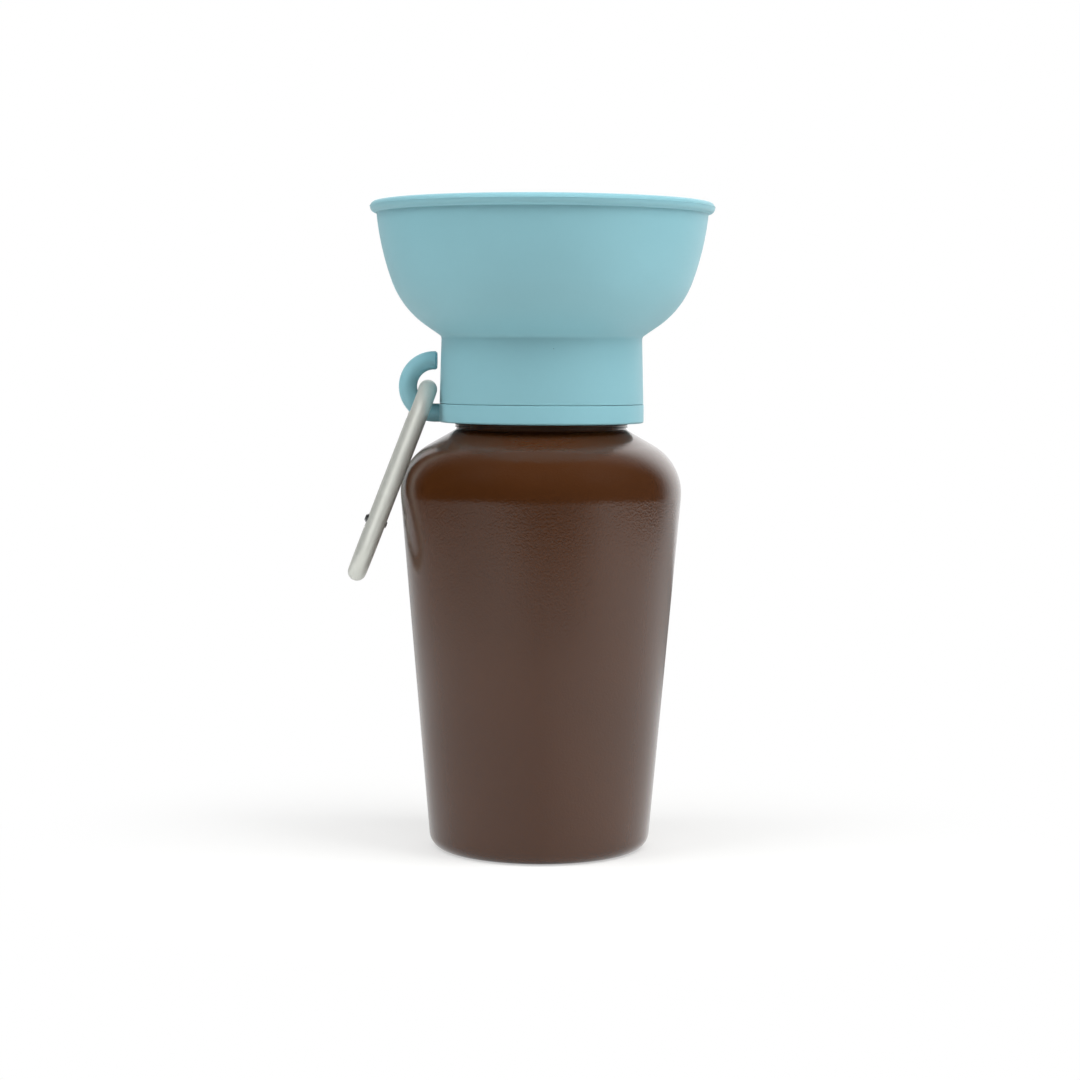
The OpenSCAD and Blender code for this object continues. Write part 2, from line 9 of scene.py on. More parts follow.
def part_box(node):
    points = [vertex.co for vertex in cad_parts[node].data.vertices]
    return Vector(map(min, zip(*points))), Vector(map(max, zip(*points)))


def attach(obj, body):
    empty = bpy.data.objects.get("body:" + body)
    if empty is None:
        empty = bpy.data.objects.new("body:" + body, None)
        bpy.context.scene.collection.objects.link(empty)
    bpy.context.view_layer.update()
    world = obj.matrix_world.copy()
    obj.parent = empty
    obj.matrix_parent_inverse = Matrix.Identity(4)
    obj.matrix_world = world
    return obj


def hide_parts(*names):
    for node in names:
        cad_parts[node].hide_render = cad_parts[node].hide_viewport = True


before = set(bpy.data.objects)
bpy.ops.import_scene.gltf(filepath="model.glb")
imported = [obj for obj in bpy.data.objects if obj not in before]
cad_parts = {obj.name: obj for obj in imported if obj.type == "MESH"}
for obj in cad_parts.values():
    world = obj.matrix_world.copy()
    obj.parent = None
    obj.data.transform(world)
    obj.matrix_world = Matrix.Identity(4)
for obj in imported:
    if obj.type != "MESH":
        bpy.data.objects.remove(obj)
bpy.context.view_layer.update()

bl_info = {
    "name": "Travel Water Bottle",
    "version": (1, 0, 0),
    "blender": (4, 5, 0),
    "location": "3D View > Sidebar > Water Bottle",
    "description": "Finishes, lathed shells and threads of a travel water bottle with a drinking bowl",
    "category": "Add Mesh",
}

MM = 0.001

# Heights and radii that the CAD frame gives: the bowl's skirt ends on the seam over the
# collar's ring, and the bottle's lip is the top of its neck.
SKIRT_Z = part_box("bowl")[0].z
RIM_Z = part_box("bowl")[1].z
RIM_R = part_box("bowl")[1].x
LIP_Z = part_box("bottle")[1].z
WIDEST_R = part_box("bottle")[1].x
COLLAR_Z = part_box("collar")[0].z

# Points round a turned piece, round the section of the parting line and round a lug, steps
# in a turn of thread, and the longest straight piece of a drawn round, which is shorter on
# the fine ridges.
TURN_POINTS = 256
LINE_POINTS = 8
LUG_POINTS = 32
THREAD_STEPS = 160
CHORD = 0.8 * MM
FINE_CHORD = 0.1 * MM
# Points closer than this are one point.
MERGE = 1e-7
# Edges sharper than this stay crisp.
CRISP = math.radians(35)
# A full round takes a hair less than half the height, so that its two arcs stay apart.
FULL_ROUND = 0.495
# The middle range of a noise, which it seldom leaves.
NOISE_LOW, NOISE_HIGH = 0.3, 0.7
# Spacing and radius of the dark specks in the teal polypropylene, and the share of its
# colour that they keep.
SPECK_SPACING = 9 * MM
SPECK_R = 0.126 * MM
SPECK_SHADE = 0.35

# Softboxes: name, place and power in watts. They stand high, so that the bowl shades itself
# from its belly down, face the middle of the bottle and don't show in the glossy wall.
SOFTBOXES = (
    ("right_softbox", (0.75, -0.35, 1.0), 12.5),
    ("left_softbox", (-0.75, -0.35, 1.0), 10.0),
    ("front_softbox", (0, -0.8, 1.1), 4.0),
    ("back_softbox", (0, 0.8, 1.1), 3.0),
    ("low_right_fill", (0.95, -0.4, 0.55), 1.2),
)
SOFTBOX_SIDE = 0.8
MIDDLE = (0, 0, 0.1)
# One more stands at the left, gives the rod its long highlight and lights nothing else.
ROD_BOX = ("rod_glint", (-0.35, -0.95, 0.42), 3.6)
ROD_BOX_SIDE = 0.9
ROD = (-0.045, 0, 0.11)
ROD_NODES = ("carabiner_body", "carabiner_gate", "gate_rivet")


def hex_colour(code):
    """An sRGB hex code as linear red, green and blue."""
    channels = [int(code[i:i + 2], 16) / 255 for i in (1, 3, 5)]
    return [c / 12.92 if c <= 0.04045 else ((c + 0.055) / 1.055) ** 2.4 for c in channels]


def length(name, description, millimetres):
    """A property that holds a length, with its default given in millimetres."""
    return FloatProperty(name=name, description=description, default=millimetres * MM,
                         min=0, subtype="DISTANCE", unit="LENGTH", precision=5)


def colour(name, description, code):
    """A property that holds a colour, with its default given as an sRGB hex code."""
    return FloatVectorProperty(name=name, description=description, size=3, subtype="COLOR",
                               min=0, max=1, default=hex_colour(code))


def share(name, description, value):
    """A property that holds a share or a brightness, where 1 is all or paper white."""
    return FloatProperty(name=name, description=description, default=value, min=0, max=2,
                         subtype="FACTOR")


# ---------------------------------------------------------------- settings

class BottleSettings(bpy.types.PropertyGroup):
    """Blown bottle: its outline, wall, neck and thread"""
    base_d: length("Base diameter", "Diameter that the side would reach in the base plane", 62.2)
    base_corner_r: length("Base corner", "Radius that rounds the base into the side", 4.4)
    stand_d: length("Standing ring", "Diameter where the push-up starts", 41)
    push_up: length("Push-up", "Height of the push-up in the middle of the base", 3)
    dome_r: length("Push-up round", "Radius at the top of the push-up", 16)
    stand_r: length("Standing round", "Radius of the standing ring's inner edge", 3)
    shoulder_z: length("Shoulder height", "Height of the centre of the shoulder's round", 101.5)
    shoulder_r: length("Shoulder round", "Radius of the shoulder's round", 15.5)
    shoulder_fall: FloatProperty(name="Shoulder fall", description="Fall of the upper slope",
                                 default=math.radians(30), subtype="ANGLE")
    wall: length("Wall", "Thickness of the blown wall", 1.2)
    neck_d: length("Neck diameter", "Diameter of the neck under its thread", 48.2)
    neck_fillet: length("Neck fillet", "Radius at the root of the neck", 0.6)
    lip_r: length("Lip edge", "Radius of the lip's edges", 0.3)
    ridge_h: length("Neck ridge", "How far the ridges round the neck's root stand out", 0.4)
    ridge_w: length("Ridge width", "Width of one ridge", 0.341)
    ridge_pitch: length("Ridge spacing", "Distance from one ridge to the next", 0.62)
    ridge_count: IntProperty(name="Neck ridges", description="Ridges round the neck's root",
                             default=2, min=1, max=3)
    colour: colour("Brown", "Colour of the pigmented polyethylene", "#452610")


class ThreadSettings(bpy.types.PropertyGroup):
    """The thread that holds the collar on the neck"""
    pitch: length("Pitch", "Rise of the thread in one turn", 4.2)
    turns: FloatProperty(name="Turns", description="Length of the thread in turns", default=1.5)
    depth: length("Depth", "How far the thread stands out", 0.8)
    width: length("Width", "Width of the thread at its root", 1.7)
    start_z: length("Start height", "Height of the thread's lower end over the collar's edge", 1.5)
    sunk: length("Root depth", "How far the thread's root is sunk into the wall", 0.25)
    room: length("Thread room", "Radial room between the neck and the collar's bore", 1.1)
    crest: share("Crest", "Width of the thread's crest as a share of its root's", 0.4)
    fade: share("Fade", "Share of the thread over which each end fades out", 0.07)
    tip: share("Tip", "Size of the faded end as a share of the full thread", 0.05)


class BowlSettings(bpy.types.PropertyGroup):
    """Drinking bowl: its outline, wall, bead and lugs"""
    bead_h: length("Bead height", "Height of the rim bead", 3.1)
    bead_out: length("Bead overhang", "How far the bead stands out from the wall", 1.8)
    side_d: length("Side diameter", "Diameter where the upper and lower rounds meet", 91.6)
    side_h: length("Side height", "Height of that place over the skirt's edge", 43.1)
    side_r: length("Upper round", "Radius of the wall's upper round", 78)
    belly_d: length("Belly diameter", "Diameter at the corner over the foot slope", 79)
    belly_h: length("Belly height", "Height of that corner over the skirt's edge", 26.3)
    belly_r: length("Lower round", "Radius of the wall's lower round", 26)
    foot_d: length("Foot diameter", "Diameter at the top of the skirt", 56.8)
    foot_h: length("Foot height", "Height of the skirt's top over its edge", 18.7)
    foot_r: length("Foot fillet", "Radius where the skirt meets the bowl", 1.2)
    skirt_d: length("Skirt diameter", "Diameter of the skirt's lower edge", 57.8)
    skirt_lap: length("Skirt lap", "How far the skirt's edge narrows the seam over the collar", 0.16)
    skirt_wall: length("Skirt wall", "Thickness of the skirt at its top", 1.45)
    wall: length("Wall", "Thickness of the bowl's wall", 1.8)
    floor_z: length("Floor underside", "Height of the floor's underside over the skirt's edge", 17.65)
    floor_t: length("Floor", "Thickness of the floor", 1.8)
    floor_fall: length("Floor fall", "Fall of the floor to its outlet", 0.5)
    well_r: length("Well round", "Radius where the floor meets the wall", 5)
    outlet_d: length("Outlet", "Diameter of the outlet in the floor", 10)
    inner_wall_r: length("Inner wall radius", "Outer radius of the wall that holds the seal", 22.9)
    inner_wall_t: length("Inner wall", "Thickness of that wall", 2.1)
    inner_wall_h: length("Inner wall height", "How far that wall hangs below the floor", 6.4)
    edge_r: length("Edge", "Radius of the moulded edges", 0.25)
    parting_r: length("Parting line", "Radius of the parting line round the bead", 0.15)
    parting_drop: length("Parting line drop", "Height from the parting line up to the rim", 1.3)
    lug_count: IntProperty(name="Lugs", description="Lugs inside the skirt", default=3, min=2)
    lug_d: length("Lug diameter", "Diameter of a lug", 2.4)
    lug_reach: length("Lug reach", "How far a lug stands into its track", 1.4)
    lug_z: length("Lug height", "Height of the lugs over the skirt's edge", 8.55)
    colour: colour("Teal", "Colour of the bowl and the collar", "#8ABEC9")


class CarabinerSettings(bpy.types.PropertyGroup):
    """Metals of the carabiner"""
    body: colour("Anodised", "Colour of the satin anodised rod", "#D4D6CF")
    steel: colour("Steel", "Colour of the rivet, pin, pusher and spring", "#9C9E9F")


class InnerSettings(bpy.types.PropertyGroup):
    """Parts inside the closure"""
    silicone: colour("Silicone", "Colour of the washer and the seals", "#8D9494")
    natural: colour("Natural polypropylene", "Colour of the stem and the dip tube", "#DCE3E4")


class StageSettings(bpy.types.PropertyGroup):
    """Floor, lights and camera"""
    distance: length("Camera distance", "From the camera to the middle of the bottle", 712.3)
    target_z: length("Target height", "Height of the point in the picture's centre", 87.95)
    target_x: FloatProperty(name="Target shift", description="Place of that point along X",
                            default=-0.2 * MM, subtype="DISTANCE", unit="LENGTH")
    pitch: FloatProperty(name="Pitch", description="How far the camera looks down",
                         default=math.radians(4.3), subtype="ANGLE")
    roll: FloatProperty(name="Roll", description="Turn of the picture about its centre",
                        default=math.radians(0.32), subtype="ANGLE")
    lens: FloatProperty(name="Lens", description="Focal length in millimetres", default=83.3)
    wall_light: share("Back wall", "Brightness of the wall behind in reflections", 0.9)
    cap_light: share("Ceiling cap", "Brightness up behind the set in reflections", 0.5)
    room_light: share("Room", "Brightness of the dark room in reflections", 0.04)
    room_lean: share("Room lean", "How much brighter the room is at the right", 0.9)
    fill_light: share("Fill", "Brightness of the surround where it only lights", 0.05)
    table_light: share("Table light", "Brightness of the table before the set in reflections", 0.72)
    table_sides: share("Table sides", "How much brighter it is beside the set", 0.5)
    table_lean: share("Table lean", "How much brighter it is at the right", 0.2)
    table_mirror: share("Table mirror", "Share of its reflection that the lamps don't change", 0.6)
    floor_width: length("Table width", "Width of the white table", 1300)
    floor_front: length("Table before", "From the bottle to the table's front edge", 520)
    floor_back: length("Table behind", "From the bottle to the table's back edge", 700)
    floor_colour: colour("Table", "Colour of the table's paper", "#F4F4F2")


SETTINGS = {
    "water_bottle_body": BottleSettings,
    "water_bottle_thread": ThreadSettings,
    "water_bottle_bowl": BowlSettings,
    "water_bottle_carabiner": CarabinerSettings,
    "water_bottle_inner": InnerSettings,
    "water_bottle_stage": StageSettings,
}


# ---------------------------------------------------------------- outlines

def unit(v):
    """A vector's direction."""
    return v / v.length


def left_of(v):
    """A vector turned a quarter turn to the left."""
    return Vector((-v.y, v.x))


def inset(before, corner, after, t):
    """The corner of a wall moved t to the left of an outline before-corner-after."""
    m, n = left_of(unit(corner - before)), left_of(unit(after - corner))
    return corner + t * (m + n) / (1 + m.dot(n))


def at_height(a, b, z):
    """The point at height z on the line through a and b."""
    return Vector((a.x + (b.x - a.x) * (z - a.y) / (b.y - a.y), z))


def round_corner(before, corner, after, radius, chord):
    """Points of the arc that rounds a corner, at most chord apart."""
    u, v = unit(before - corner), unit(after - corner)
    turn = math.pi - u.angle(v)
    centre = corner + unit(u + v) * radius / math.cos(turn / 2)
    start = corner + u * radius * math.tan(turn / 2) - centre
    side = math.copysign(1, u.y * v.x - u.x * v.y)
    steps = max(3, math.ceil(radius * turn / chord))
    first = math.atan2(start.y, start.x)
    angles = [first + side * turn * i / steps for i in range(steps + 1)]
    return [centre + radius * Vector((math.cos(a), math.sin(a))) for a in angles]


def rounded(corners, chord=CHORD):
    """A closed outline from corners (radius from the axis, height, rounding radius)."""
    points = [Vector(c[:2]) for c in corners]
    outline = []
    for i, corner in enumerate(corners):
        before, after = points[i - 1], points[(i + 1) % len(points)]
        if corner[2]:
            outline += round_corner(before, points[i], after, corner[2], chord)
        else:
            outline.append(points[i])
    return outline


def lathe(name, outline):
    """Turns a closed outline of (radius, height) about the Z axis into a closed mesh."""
    shape = bmesh.new()
    rings = []
    for i in range(TURN_POINTS):
        a = 2 * math.pi * i / TURN_POINTS
        rings.append([shape.verts.new((p.x * math.cos(a), p.x * math.sin(a), p.y)) for p in outline])
    for i in range(TURN_POINTS):
        for k in range(len(outline)):
            here, there = rings[i], rings[(i + 1) % TURN_POINTS]
            low, high = k, (k + 1) % len(outline)
            if outline[low].x > 0 or outline[high].x > 0:
                shape.faces.new((here[low], there[low], there[high], here[high]))
    bmesh.ops.remove_doubles(shape, verts=shape.verts, dist=MERGE)
    bmesh.ops.dissolve_degenerate(shape, edges=shape.edges, dist=MERGE / 10)
    bmesh.ops.recalc_face_normals(shape, faces=shape.faces)
    return mesh_object(name, shape)


def mesh_object(name, shape):
    """An object from a bmesh, shaded smooth but for its crisp edges."""
    mesh = bpy.data.meshes.new(name)
    shape.to_mesh(mesh)
    shape.free()
    smooth_shading(mesh)
    made = bpy.data.objects.new(name, mesh)
    bpy.context.scene.collection.objects.link(made)
    return made


def smooth_shading(mesh):
    """Shades a mesh smooth but for its crisp edges."""
    mesh.polygons.foreach_set("use_smooth", [True] * len(mesh.polygons))
    mesh.set_sharp_from_angle(angle=CRISP)


# ---------------------------------------------------------------- node trees

def add(tree, kind, inputs=(), **settings):
    """Adds a node with its settings, sets or links its inputs, and gives its outputs.

    inputs goes by socket names or numbers, or is a tuple in the order of the sockets."""
    made = tree.nodes.new(kind)
    for name, value in settings.items():
        setattr(made, name, value)
    for name, value in inputs.items() if isinstance(inputs, dict) else enumerate(inputs):
        if isinstance(value, bpy.types.NodeSocket):
            tree.links.new(value, made.inputs[name])
        else:
            made.inputs[name].default_value = value
    return made.outputs


# ---------------------------------------------------------------- materials

def patterned(name, colour, noises, tone, gloss, relief, **constants):
    """A material whose colour, roughness and relief follow noises on Object coordinates.

    noises gives each noise its grain size and detail. tone is a noise and the share by which
    it darkens and lightens the colour. gloss is a noise, the least and the most roughness.
    relief gives noises their depths. constants are sockets that are the same all over."""
    made = bpy.data.materials.new(name)
    made.use_nodes = True
    tree = made.node_tree
    shader = tree.nodes["Principled BSDF"].inputs
    for socket, value in constants.items():
        shader[socket.replace("_", " ")].default_value = value
    place = add(tree, "ShaderNodeTexCoord")["Object"]
    grains = {}
    for key, (size, detail) in noises.items():
        grains[key] = add(tree, "ShaderNodeTexNoise",
                          {"Vector": place, "Scale": 1 / size, "Detail": detail})["Fac"]

    noise, amount = tone
    factor = add(tree, "ShaderNodeMapRange",
                 {"Value": grains[noise], "From Min": NOISE_LOW, "From Max": NOISE_HIGH})[0]
    darker = (*[c * (1 - amount) for c in colour], 1)
    lighter = (*[min(1, c * (1 + amount)) for c in colour], 1)
    varied = add(tree, "ShaderNodeMix", {0: factor, 6: darker, 7: lighter}, data_type="RGBA")[2]
    shader["Base Color"].default_value = (*colour, 1)
    tree.links.new(varied, shader["Base Color"])

    noise, least, most = gloss
    shader["Roughness"].default_value = (least + most) / 2
    if least < most:
        rough = add(tree, "ShaderNodeMapRange",
                    {"Value": grains[noise], "From Min": NOISE_LOW, "From Max": NOISE_HIGH,
                     "To Min": least, "To Max": most})[0]
        tree.links.new(rough, shader["Roughness"])

    under = {}
    for noise, depth in relief.items():
        bump = add(tree, "ShaderNodeBump",
                   {"Height": grains[noise], "Distance": depth, "Strength": 1.0, **under})["Normal"]
        under = {"Normal": bump}
    if relief:
        tree.links.new(bump, shader["Normal"])
    return made


def blown_polyethylene(colour):
    """Pigmented polyethylene, blow-moulded: glossy, with a slight orange peel from the
    mould and long soft waves in the wall, which bend what it reflects."""
    # The pores that dull the gloss are drawn coarser than the real 0.1 mm, which is finer
    # than the render shows.
    return patterned(
        "cocoa blow-moulded polyethylene", colour,
        noises={"waves": (26 * MM, 0.0), "peel": (0.6 * MM, 1.0), "pores": (0.5 * MM, 2.0)},
        tone=("waves", 0.05), gloss=("pores", 0.14, 0.2),
        relief={"waves": 0.12 * MM, "peel": 0.046 * MM}, IOR=1.52)


def moulded_polypropylene(colour):
    """Polypropylene from an eroded mould: matte, with an even fine grain and, here and
    there, a speck of darker pigment."""
    # The erosion's real grain is about 0.05 mm, too fine to show, so it is drawn coarser.
    made = patterned(
        "teal moulded polypropylene", colour,
        noises={"clouds": (30 * MM, 1.0), "erosion": (0.28 * MM, 3.0)},
        tone=("clouds", 0.015), gloss=("erosion", 0.47, 0.57), relief={"erosion": 0.012 * MM},
        IOR=1.49, Sheen_Weight=0.12, Sheen_Roughness=0.4)
    tree = made.node_tree
    base = tree.nodes["Principled BSDF"].inputs["Base Color"]
    plain = base.links[0].from_socket
    place = add(tree, "ShaderNodeTexCoord")["Object"]
    cells = add(tree, "ShaderNodeTexVoronoi", {"Vector": place, "Scale": 1 / SPECK_SPACING})
    near = add(tree, "ShaderNodeMath", (cells["Distance"], SPECK_R / SPECK_SPACING),
               operation="LESS_THAN")[0]
    dark = (*[c * SPECK_SHADE for c in colour], 1)
    specked = add(tree, "ShaderNodeMix", {0: near, 6: plain, 7: dark}, data_type="RGBA")[2]
    tree.links.new(specked, base)
    return made


def anodised_aluminium(colour):
    """Aluminium rod, bead-blasted and clear anodised: a satin metal that spreads its
    highlights evenly, with a faint grain."""
    # The clear coat is milky, so the metal is mixed with its own pale colour. The blasting's
    # real grain is about 0.05 mm, too fine to show, so it is drawn coarser.
    return patterned(
        "satin anodised aluminium", colour,
        noises={"clouds": (6 * MM, 2.0), "blast": (0.2 * MM, 2.0)},
        tone=("clouds", 0.03), gloss=("blast", 0.42, 0.5), relief={"blast": 0.006 * MM},
        Metallic=0.55)


def drawn_steel(colour):
    """Plain steel wire and pins: a dull metal with fine drawing marks and darker spots."""
    # The real marks are a few hundredths of a millimetre wide and are drawn coarser.
    return patterned(
        "dull drawn steel", colour,
        noises={"stain": (1.2 * MM, 2.0), "marks": (0.15 * MM, 3.0)},
        tone=("stain", 0.25), gloss=("marks", 0.3, 0.5), relief={"marks": 0.008 * MM},
        Metallic=1.0)


def silicone_rubber(colour):
    """Moulded silicone: soft matte rubber with a faint dusty bloom."""
    return patterned(
        "grey silicone rubber", colour, noises={"bloom": (1.5 * MM, 3.0)},
        tone=("bloom", 0.08), gloss=("bloom", 0.52, 0.68), relief={"bloom": 0.01 * MM}, IOR=1.43)


def natural_polypropylene(colour):
    """Unpigmented polypropylene: milky, lets light into its surface, and slightly waxy."""
    return patterned(
        "natural milky polypropylene", colour, noises={"wax": (2.5 * MM, 2.0)},
        tone=("wax", 0.04), gloss=("wax", 0.28, 0.38), relief={"wax": 0.01 * MM}, IOR=1.49,
        Subsurface_Weight=0.5, Subsurface_Scale=1.5 * MM)


MATERIALS = {}


def shared(build, colour):
    """The material that build makes, made once however many pieces use it."""
    if build not in MATERIALS:
        MATERIALS[build] = build(colour)
    return MATERIALS[build]


def finish_node(node, material):
    """Gives a CAD node that stays its material."""
    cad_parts[node].material_slots[0].material = material


# ---------------------------------------------------------------- geometry nodes

def new_tree(name, *sizes):
    """A Geometry Nodes tree with named sizes and a material as inputs."""
    tree = bpy.data.node_groups.new(name, "GeometryNodeTree")
    tree.interface.new_socket("Geometry", in_out="OUTPUT", socket_type="NodeSocketGeometry")
    for label in sizes:
        tree.interface.new_socket(label, in_out="INPUT", socket_type="NodeSocketFloat")
    tree.interface.new_socket("Material", in_out="INPUT", socket_type="NodeSocketMaterial")
    return tree, add(tree, "NodeGroupInput")


def end_tree(tree, geometry, material):
    """Ends a tree in Realize Instances and Set Material."""
    real = add(tree, "GeometryNodeRealizeInstances", {"Geometry": geometry})[0]
    painted = add(tree, "GeometryNodeSetMaterial", {"Geometry": real, "Material": material})[0]
    add(tree, "NodeGroupOutput", (painted,))


def grown(name, tree, material, **values):
    """A plain mesh object from a tree, with its inputs set by their sockets' identifiers.

    A profile that reaches inwards is mirrored, so the faces are turned outwards again."""
    host = bpy.data.objects.new(name, bpy.data.meshes.new(name + "_host"))
    bpy.context.scene.collection.objects.link(host)
    modifier = host.modifiers.new("Grown", "NODES")
    modifier.node_group = tree
    values["Material"] = material
    for item in tree.interface.items_tree:
        if item.in_out == "INPUT":
            modifier[item.identifier] = values[item.name]
    view = bpy.context.evaluated_depsgraph_get()
    mesh = bpy.data.meshes.new_from_object(host.evaluated_get(view))
    host.modifiers.remove(modifier)
    shape = bmesh.new()
    shape.from_mesh(mesh)
    bmesh.ops.recalc_face_normals(shape, faces=shape.faces)
    shape.to_mesh(mesh)
    shape.free()
    host.data = mesh
    mesh.name = name
    smooth_shading(mesh)
    return host


def thread_tree(shape):
    """A ridge with a trapezoid section that climbs round the Z axis and fades out at both
    ends. Reach is how far it stands outwards, and is negative where it stands inwards."""
    tree, size = new_tree("Screw thread", "Radius", "Pitch", "Turns", "Start", "Reach", "Width")
    rise = add(tree, "ShaderNodeMath", (size["Turns"], size["Pitch"]), operation="MULTIPLY")[0]
    helix = add(tree, "GeometryNodeCurveSpiral",
                {"Resolution": THREAD_STEPS, "Rotations": size["Turns"], "Height": rise,
                 "Start Radius": size["Radius"], "End Radius": size["Radius"], "Reverse": True})[0]
    start = add(tree, "ShaderNodeCombineXYZ", {"Z": size["Start"]})[0]
    helix = add(tree, "GeometryNodeTransform", {"Geometry": helix, "Translation": start})[0]
    helix = add(tree, "GeometryNodeSetCurveNormal", {"Curve": helix}, mode="Z_UP")[0]

    along = add(tree, "GeometryNodeSplineParameter")["Factor"]
    from_end = add(tree, "ShaderNodeMath", (along, 0.5), operation="PINGPONG")[0]
    fade = add(tree, "ShaderNodeMapRange",
               {"Value": from_end, "From Min": 0.0, "From Max": shape.fade, "To Min": shape.tip,
                "To Max": 1.0}, interpolation_type="SMOOTHSTEP")[0]

    root, crest = 0.5, 0.5 * shape.crest
    corners = {"Point 1": (0, root, 0), "Point 2": (1, crest, 0), "Point 3": (1, -crest, 0),
               "Point 4": (0, -root, 0)}
    section = add(tree, "GeometryNodeCurvePrimitiveQuadrilateral", corners, mode="POINTS")[0]
    stretch = add(tree, "ShaderNodeCombineXYZ", (size["Reach"], size["Width"], 1.0))[0]
    section = add(tree, "GeometryNodeTransform", {"Geometry": section, "Scale": stretch})[0]
    ridge = add(tree, "GeometryNodeCurveToMesh",
                {"Curve": helix, "Profile Curve": section, "Scale": fade, "Fill Caps": True})[0]
    end_tree(tree, ridge, size["Material"])
    return tree


def ring_tree():
    """A fine round bead that lies level round the Z axis."""
    tree, size = new_tree("Parting line", "Radius", "Height", "Thickness")
    loop = add(tree, "GeometryNodeCurvePrimitiveCircle",
               {"Resolution": TURN_POINTS, "Radius": size["Radius"]}, mode="RADIUS")[0]
    section = add(tree, "GeometryNodeCurvePrimitiveCircle",
                  {"Resolution": LINE_POINTS, "Radius": size["Thickness"]}, mode="RADIUS")[0]
    bead = add(tree, "GeometryNodeCurveToMesh", {"Curve": loop, "Profile Curve": section})[0]
    lift = add(tree, "ShaderNodeCombineXYZ", {"Z": size["Height"]})[0]
    raised = add(tree, "GeometryNodeTransform", {"Geometry": bead, "Translation": lift})[0]
    end_tree(tree, raised, size["Material"])
    return tree


def lug_tree(count):
    """Round lugs, evenly spaced, that point to the Z axis. Distance is from the axis to the
    middle of a lug."""
    tree, size = new_tree("Lugs", "Length", "Radius", "Distance", "Height")
    lug = add(tree, "GeometryNodeMeshCylinder",
              {"Vertices": LUG_POINTS, "Depth": size["Length"], "Radius": size["Radius"]},
              fill_type="NGON")[0]
    spot = add(tree, "ShaderNodeCombineXYZ", {"X": size["Distance"], "Z": size["Height"]})[0]
    lug = add(tree, "GeometryNodeTransform",
              {"Geometry": lug, "Translation": spot, "Rotation": (0, math.pi / 2, 0)})[0]
    points = add(tree, "GeometryNodePoints", {"Count": count})[0]
    number = add(tree, "GeometryNodeInputIndex")[0]
    angle = add(tree, "ShaderNodeMath", (number, 2 * math.pi / count), operation="MULTIPLY")[0]
    turn = add(tree, "ShaderNodeCombineXYZ", {"Z": angle})[0]
    copies = add(tree, "GeometryNodeInstanceOnPoints",
                 {"Points": points, "Instance": lug, "Rotation": turn})[0]
    end_tree(tree, copies, size["Material"])
    return tree


# ---------------------------------------------------------------- outlines of the shells

def bottle_corners(size):
    """The height of the neck's root, and the bottle's outline from the middle of its base up
    the outside and down the inside."""
    base = Vector((size.base_d / 2, 0))
    neck_r = size.neck_d / 2
    centre = Vector((WIDEST_R - size.shoulder_r, size.shoulder_z))
    away = base.x - centre.x
    taper = math.asin(size.shoulder_r / math.hypot(away, centre.y)) - math.atan2(away, centre.y)
    half = (math.pi / 2 - size.shoulder_fall + taper) / 2
    middle = (math.pi / 2 - size.shoulder_fall - taper) / 2
    shoulder = centre + size.shoulder_r / math.cos(half) * Vector((math.cos(middle), math.sin(middle)))
    neck_z = shoulder.y + (shoulder.x - neck_r) * math.tan(size.shoulder_fall)
    neck, lip = Vector((neck_r, neck_z)), Vector((neck_r, LIP_Z))
    stand = Vector((size.stand_d / 2, 0))
    dome = Vector((stand.x - size.dome_r / 2, size.push_up))
    wall = size.wall
    in_side = inset(base, shoulder, neck, wall)
    in_neck = inset(shoulder, neck, lip, wall)
    in_base = inset(stand, base, shoulder, wall)
    in_stand = inset(dome, stand, base, wall)
    in_dome = inset(Vector((0, size.push_up)), dome, stand, wall)
    return neck_z, [
        (0, size.push_up, 0), (*dome, size.dome_r), (*stand, size.stand_r),
        (*base, size.base_corner_r), (*shoulder, size.shoulder_r), (*neck, size.neck_fillet),
        (*lip, size.lip_r), (in_neck.x, LIP_Z, size.lip_r), (*in_neck, size.neck_fillet),
        (*in_side, size.shoulder_r - wall), (*in_base, size.base_corner_r - wall),
        (*in_stand, size.stand_r), (*in_dome, size.dome_r), (0, size.push_up + wall, 0)]


def bowl_corners(size):
    """The bowl's outline, from the skirt's inner edge up the outside, over the rim, down to
    the outlet and back under the floor round the wall that holds the seal."""
    z = SKIRT_Z
    foot = Vector((size.foot_d / 2, z + size.foot_h))
    belly = Vector((size.belly_d / 2, z + size.belly_h))
    side = Vector((size.side_d / 2, z + size.side_h))
    top = Vector((RIM_R - size.bead_out, RIM_Z - size.bead_h))
    skirt_in = foot.x - size.skirt_wall
    in_belly = inset(foot, belly, side, size.wall)
    in_side = inset(belly, side, top, size.wall)
    in_top = top + size.wall * left_of(unit(top - side))
    in_foot = foot + size.wall * left_of(unit(belly - foot))
    floor = z + size.floor_z
    floor_top = floor + size.floor_t
    well = at_height(in_foot, in_belly, floor_top)
    bead_r = FULL_ROUND * size.bead_h
    inner, hang = size.inner_wall_r, floor - size.inner_wall_h
    edge = size.edge_r
    low = z - size.skirt_lap
    return [
        (skirt_in, low, edge / 2), (size.skirt_d / 2, low, edge / 2), (*foot, size.foot_r),
        (*belly, size.belly_r), (*side, size.side_r), (*top, edge),
        (RIM_R, RIM_Z - size.bead_h, bead_r), (RIM_R, RIM_Z, bead_r), (in_top.x, RIM_Z, bead_r),
        (in_top.x, top.y, size.wall), (*in_side, size.side_r - size.wall),
        (*in_belly, size.belly_r - size.wall), (*well, size.well_r),
        (size.outlet_d / 2, floor_top - size.floor_fall, edge), (size.outlet_d / 2, floor, edge),
        (inner - size.inner_wall_t, floor, edge), (inner - size.inner_wall_t, hang, edge),
        (inner, hang, edge), (inner, floor, edge), (skirt_in, floor, edge)]


